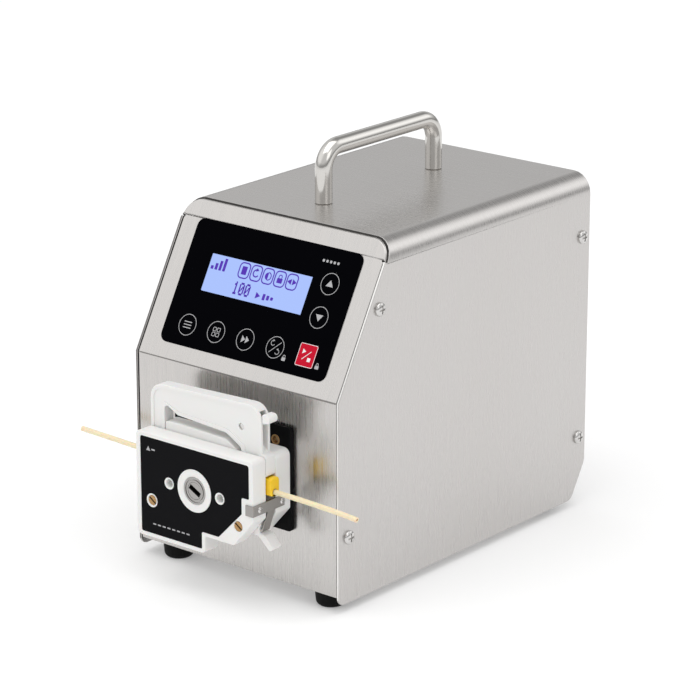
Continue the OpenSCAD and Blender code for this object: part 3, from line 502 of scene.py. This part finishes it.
class Print:
    """Collects flat printed shapes that lie on one surface."""

    def __init__(self, place, level):
        self.bm = bmesh.new()
        self.place = place
        self.low, self.high = level - 0.01, level + PRINT

    def fill(self, outline):
        """A filled shape."""
        prism(self.bm, outline, self.place, self.low, self.high)

    def line(self, points, width, closed=False):
        """A line of even width."""
        stroke(self.bm, points, width, self.place, self.low, self.high, closed)

    def turn_arrow(self, centre, radius, start, end, width, head):
        """A curved arrow, with its head at the end of the arc."""
        self.line(arc(centre, radius, start, end, 18), width)
        tip = math.radians(end)
        at = (centre[0] + radius * math.cos(tip), centre[1] + radius * math.sin(tip))
        self.fill(arrow_head(at, head, end + (90 if end > start else -90)))

    def padlock(self, centre, size):
        """A closed padlock as wide as size."""
        x, y = centre
        self.fill(round_box((x, y - size * 0.25), size, size * 0.75, size * 0.1, 2))
        shackle = [(x - size * 0.28, y + size * 0.1), *arc((x, y + size * 0.35), size * 0.28, 180, 0, 10),
                   (x + size * 0.28, y + size * 0.1)]
        self.line(shackle, size * 0.14)

    def done(self, name, look, body):
        """Makes one piece of all that was drawn."""
        add_object(self.bm, name, look, body, even=False)


def key_signs():
    """The printed sign on each key, drawn round the key's own middle."""
    signs = {}
    for key, (u, v) in KEYS.items():
        signs[key] = Print(lambda x, y, z, u=u, v=v: on_slope(u + x, v + y, z), KEY_TOP)
        if key != "key_run":
            signs[key].line(circle((0, 0), KEY_RING), THIN, closed=True)
    for step in (-1.7, 0, 1.7):
        signs["key_menu"].line([(-2.8, step), (2.8, step)], 0.5)
    for x in (-1.45, 1.45):
        for y in (-1.45, 1.45):
            signs["key_mode"].line(round_box((x, y), 2.1, 2.1, 0.4, 3), 0.36, closed=True)
    for x in (-2.7, 0.2):
        signs["key_fast"].fill([(x, 2.1), (x, -2.1), (x + 2.6, 0)])
    direction = signs["key_direction"]
    direction.line([(-3.4, -3.4), (3.4, 3.4)], 0.34)
    direction.turn_arrow((-2.2, 2.2), 1.4, 330, 90, 0.36, 0.8)
    direction.turn_arrow((2.2, -2.2), 1.4, 210, 450, 0.36, 0.8)
    signs["key_up"].fill([(-2.6, -1.6), (2.6, -1.6), (0, 2.2)])
    signs["key_down"].fill([(2.6, 1.6), (-2.6, 1.6), (0, -2.2)])
    run = signs["key_run"]
    run.line(round_box((0, 0), 12.0, 12.6, 0.8, 3), 0.3, closed=True)
    run.line([(-2.6, -2.6), (2.6, 2.6)], 0.4)
    run.fill([(-3.4, 3.4), (-3.4, 0.6), (-1.0, 2.0)])
    run.fill(round_box((2.3, -2.2), 2.2, 2.2, 0.15, 2))
    for key, sign in signs.items():
        sign.done(key + "_print", "print_white" if key == "key_run" else "print_grey", key)


def overlay_signs():
    """Small marks on the overlay itself."""
    marks = Print(on_slope, OVERLAY_TOP)
    marks.padlock((29.3, 17.0), 2.6)
    marks.padlock((53.1, 17.1), 2.6)
    for k in range(5):
        marks.fill(round_box((34.6 + 2.6 * k, 74.8), 1.5, 1.5, 0.4, 3))
    marks.done("overlay_print", "print_grey", "case")


DIGITS = {"1": ("..#..", ".##..", "..#..", "..#..", "..#..", "..#..", ".###."),
          "0": (".###.", "#...#", "#..##", "#.#.#", "##..#", "#...#", ".###.")}


def display_signs():
    """What the display shows: a level, five state signs and a speed with a triangle and bars."""
    pane_top = OVERLAY_TOP - 0.08
    pane = bmesh.new()
    prism(pane, round_box((-6, 53.4), 73.4, 21.9, 0.3, 2), on_slope, -0.4, pane_top)
    add_object(pane, "display_face", "display_glow", "case", even=False)
    shown = Print(on_slope, pane_top)
    for k in range(4):
        tall = 2.0 + 1.8 * k
        shown.fill(round_box((-40.2 + 2.9 * k, 55.6 + tall / 2), 1.9, tall, 0.2, 2))
    for k in range(5):
        centre = (-17.0 + 8.75 * k, 58.9)
        shown.line(round_box(centre, 7.4, 8.8, 2.3, 4), 0.75, closed=True)
        if k == 0:
            shown.fill(round_box(centre, 3.6, 4.8, 0.2, 2))
        elif k == 1:
            shown.turn_arrow(centre, 2.0, 330, 80, 0.8, 1.3)
        elif k == 2:
            shown.fill(arc(centre, 2.2, 90, 270, 12))
            shown.line(arc(centre, 2.2, 90, -90, 12), 0.6)
        elif k == 3:
            shown.padlock(centre, 3.8)
        else:
            for side in (-1, 1):
                shown.fill(arrow_head((centre[0] + side * 1.4, centre[1]), 2.0, 90 - side * 90))
    wide, tall = 0.68, 1.04
    for k, digit in enumerate("100"):
        for row, dots in enumerate(DIGITS[digit]):
            for column, mark in enumerate(dots):
                if mark == "#":
                    at = (-19.1 + 4.3 * k + wide * (column - 2), 48.35 + tall * (3 - row))
                    shown.fill(round_box(at, wide * 1.4, tall * 1.1, 0.08, 1))
    shown.fill(arrow_head((-2.6, 47.0), 2.2, 0))
    for k in range(3):
        shown.fill(round_box((2.2 + 2.9 * k, 47.0), 1.9, 3.6 - 0.9 * k, 0.3, 2))
    shown.done("display_signs", "print_violet", "case")


def label_signs():
    """Plain marks on the head's label: a triangle beside a bar, and a row of dashes."""
    marks = Print(on_head, -0.1)
    marks.fill(arrow_head((-34.2, 16.9), 1.8, 90))
    marks.fill(round_box((-30.6, 17.1), 2.6, 0.9, 0.2, 2))
    for k in range(8):
        marks.fill(round_box((-30.4 + 3.6 * k, -26.9), 2.3, 0.8, 0.2, 2))
    marks.done("label_print", "print_grey", "case")


# ---------- which look each CAD node has ----------

# Node, look, material slot, width of its rounded edges and of its bend in mm
DRESSED = [
    ("cover", "cover_steel", "brushed_steel", 0.3),
    ("front_panel", "panel_steel", "brushed_steel", 0.3, 0.5),
    ("rear_panel", "panel_steel", "brushed_steel", 0.25),
    ("base_pan", "panel_steel", "brushed_steel", 0.3),
    ("cover_screws", "screw_steel", "screw_steel", 0.18),
    ("rubber_feet", "foot_rubber", "foot_rubber", 0.5),
    ("keypad_overlay", "overlay_black", "overlay_black", 0.15),
    ("adapter_plate", "anodised_black", "black_anodised", 0.4),
    ("head_rear_plate", "white_acetal", "white_acetal", 0.8),
    ("head_front_plate", "white_acetal", "white_acetal", 0.7),
    ("face_label", "label_black", "overlay_black", 0.1),
    ("cartridge_frame", "white_acetal", "white_acetal", 0.45),
    ("pressing_block", "white_acetal", "white_acetal", 0.6),
    ("occlusion_lever", "white_acetal", "white_acetal", 0.5),
    ("release_lever", "white_acetal", "white_acetal", 0.6),
    ("tube_stops", "yellow_clip", "yellow_clip", 0.7),
    ("latch_bracket", "bracket_steel", "bearing_steel", 0.15),
    ("head_screws", "brass", "brass", 0.15),
    ("adapter_inserts", "brass", "brass", 0.2),
    ("inlet_socket", "black_plastic", "black_plastic", 0.4),
    ("power_switch", "black_plastic", "black_plastic", 0.3),
    ("power_rocker", "black_plastic", "black_plastic", 0.4),
    ("control_port", "bearing_steel", "bearing_steel", 0.2),
    ("shaft_bearings", "bearing_steel", "bearing_steel", 0.15),
    ("rotor_shaft", "bearing_steel", "bearing_steel", 0.2),
]
# Nodes that keep their CAD mesh, by look
KEPT = {
    "screw_steel": ["handle_screws", "foot_screws", "motor_screws", "bracket_screws", "tie_rods",
                    "lever_pin", "roller_pins"],
    "bearing_steel": ["roller_carrier", "drive_shaft"] + [f"roller_{k}" for k in range(1, 7)],
    "overlay_black": ["key_menu", "key_mode", "key_fast", "key_direction", "key_up", "key_down"],
    "key_red": ["key_run"],
    "display_frame": ["lcd_module"],
    "board_green": ["control_board", "power_supply"],
    "motor_black": ["stepper_motor"],
    "brass": ["board_spacers"],
    "silicone": ["pump_tube"],
    "bracket_steel": ["release_spring"],
}


def paint_details():
    """Painted light: painted shade on the cover's left and top cut edges, a painted highlight on its right
    cut edges, and painted shade in the front panel's crease and at the bottoms of slots.
    """
    facing = 0.97                             # least cosine for a face that looks one way
    side = 70 * MM
    corner = CASE_TOP - 13 * MM

    def cut(centre, normal):
        return centre.y < 0 and (normal.dot(SLOPE_OUT) > facing or normal.y < -facing)

    def crease(centre, normal):
        near = abs(centre.z - BEND_Z) < 1 * MM and centre.y < FRONT + 0.6 * MM
        return near and abs(normal.x) < 0.1 and max(normal.dot(SLOPE_OUT), -normal.y) < 0.998

    # painted shade on the cover's left cut edges
    repaint("cover", "left_edge_painted_shade", lambda c, n: cut(c, n) and c.x < -side)
    # painted highlight on the cover's right cut edges
    repaint("cover", "right_edge_painted_highlight", lambda c, n: cut(c, n) and c.x > side)
    # painted shade on the cover's top cut edges, for the seam behind the front panel
    repaint("cover", "top_edge_painted_shade", lambda c, n: cut(c, n) and c.z > corner)
    # painted shade in the front panel's crease
    repaint("front_panel", "bend_shade", crease)
    # painted shade on the shaft inside the head and at the bottoms of the screws' slots
    repaint("rotor_shaft", "slot_painted_shade", lambda c, n: c.y > HEAD_FACE + 1 * MM)
    repaint("head_screws", "slot_painted_shade", lambda c, n: n.y < -facing and c.y > HEAD_FACE + 0.4 * MM)


def paint_kept():
    """Gives the nodes that keep their CAD mesh their looks."""
    for look, nodes in KEPT.items():
        for node in nodes:
            obj = frame["nodes"][node]
            if not obj.material_slots:
                obj.data.materials.append(None)
            for place in obj.material_slots:
                place.material = LOOKS[look]


# ---------- floor and light ----------

def make_floor():
    """A plain pale floor, with a faint glow that keeps it near white."""
    bm = bmesh.new()
    reach = 12.0
    bm.faces.new([bm.verts.new((x * reach, y * reach, 0)) for x, y in ((-1, -1), (1, -1), (1, 1), (-1, 1))])
    mesh = bpy.data.meshes.new("floor")
    bm.to_mesh(mesh)
    bm.free()
    floor = bpy.data.objects.new("floor", mesh)
    mesh.materials.append(finish("floor_white", (0.77, 0.77, 0.77), 0.9, grain=(3, 3, 3), vary=0.003,
                                 bump=0.0, cloud=(1, 1, 1), blotch=0.002, Specular_IOR_Level=0.0,
                                 Emission_Color=(1, 1, 1, 1), Emission_Strength=0.25))
    SCENE.collection.objects.link(floor)


ROOM_GLOW = 0.36
# Azimuth from +Y towards +X, elevation, half angle and softness in degrees, and strength
PATCHES = [(0, 90, 80, 8, 0.45), (-137, 34, 30, 16, 0.36), (-30, 20, 30, 20, -0.05),
           (-10, 48, 22, 14, -0.4), (28, 34, 16, 10, 0.7)]


def studio_light(base, patches):
    """A pale room: an even glow with soft bright and dark patches in given directions."""
    world = bpy.data.worlds.new("studio")
    SCENE.world = world
    world.use_nodes = True
    nodes, links = world.node_tree.nodes, world.node_tree.links
    place = nodes.new("ShaderNodeTexCoord")
    total = None
    for azimuth, elevation, half, soft, strength in patches:
        a, e = math.radians(azimuth), math.radians(elevation)
        toward = nodes.new("ShaderNodeVectorMath")
        toward.operation = "DOT_PRODUCT"
        toward.inputs[1].default_value = (math.sin(a) * math.cos(e), math.cos(a) * math.cos(e), math.sin(e))
        links.new(place.outputs["Generated"], toward.inputs[0])
        edge = nodes.new("ShaderNodeMapRange")
        edge.interpolation_type = "SMOOTHSTEP"
        edge.inputs["From Min"].default_value = math.cos(math.radians(half + soft))
        edge.inputs["From Max"].default_value = math.cos(math.radians(max(half - soft, 0)))
        edge.inputs["To Min"].default_value = 0
        edge.inputs["To Max"].default_value = strength
        links.new(toward.outputs["Value"], edge.inputs["Value"])
        add = nodes.new("ShaderNodeMath")
        add.operation = "ADD"
        add.inputs[0].default_value = base
        if total:
            links.new(total, add.inputs[0])
        links.new(edge.outputs["Result"], add.inputs[1])
        total = add.outputs["Value"]
    links.new(total, nodes["Background"].inputs["Strength"])
    nodes["Background"].inputs["Color"].default_value = (1, 1, 1, 1)


def softbox(name, position, target, size, power):
    """A soft area light that faces a point."""
    data = bpy.data.lights.new(name, "AREA")
    data.shape = "RECTANGLE"
    data.size, data.size_y = size
    data.energy = power
    lamp = bpy.data.objects.new(name, data)
    lamp.location = position
    lamp.rotation_mode = "QUATERNION"
    lamp.rotation_quaternion = (Vector(target) - Vector(position)).to_track_quat("-Z", "Y")
    SCENE.collection.objects.link(lamp)


# ---------- build ----------

make_camera()
make_hose("tube_right", "tube_end_right", ROUTE_RIGHT)
make_hose("tube_left", "tube_end_left", ROUTE_LEFT)
for row in DRESSED:
    dress(*row)
paint_details()
paint_kept()
make_handle()
key_signs()
overlay_signs()
display_signs()
label_signs()
make_floor()
studio_light(ROOM_GLOW, PATCHES)
softbox("top_light", (0.1, -0.3, 2.6), (0, 0, 0), (2.6, 2.6), 24)
softbox("side_light", (2.4, -0.6, 1.6), (0, 0, 0.1), (1.4, 1.4), 5)
SCENE.view_settings.view_transform = "Standard"
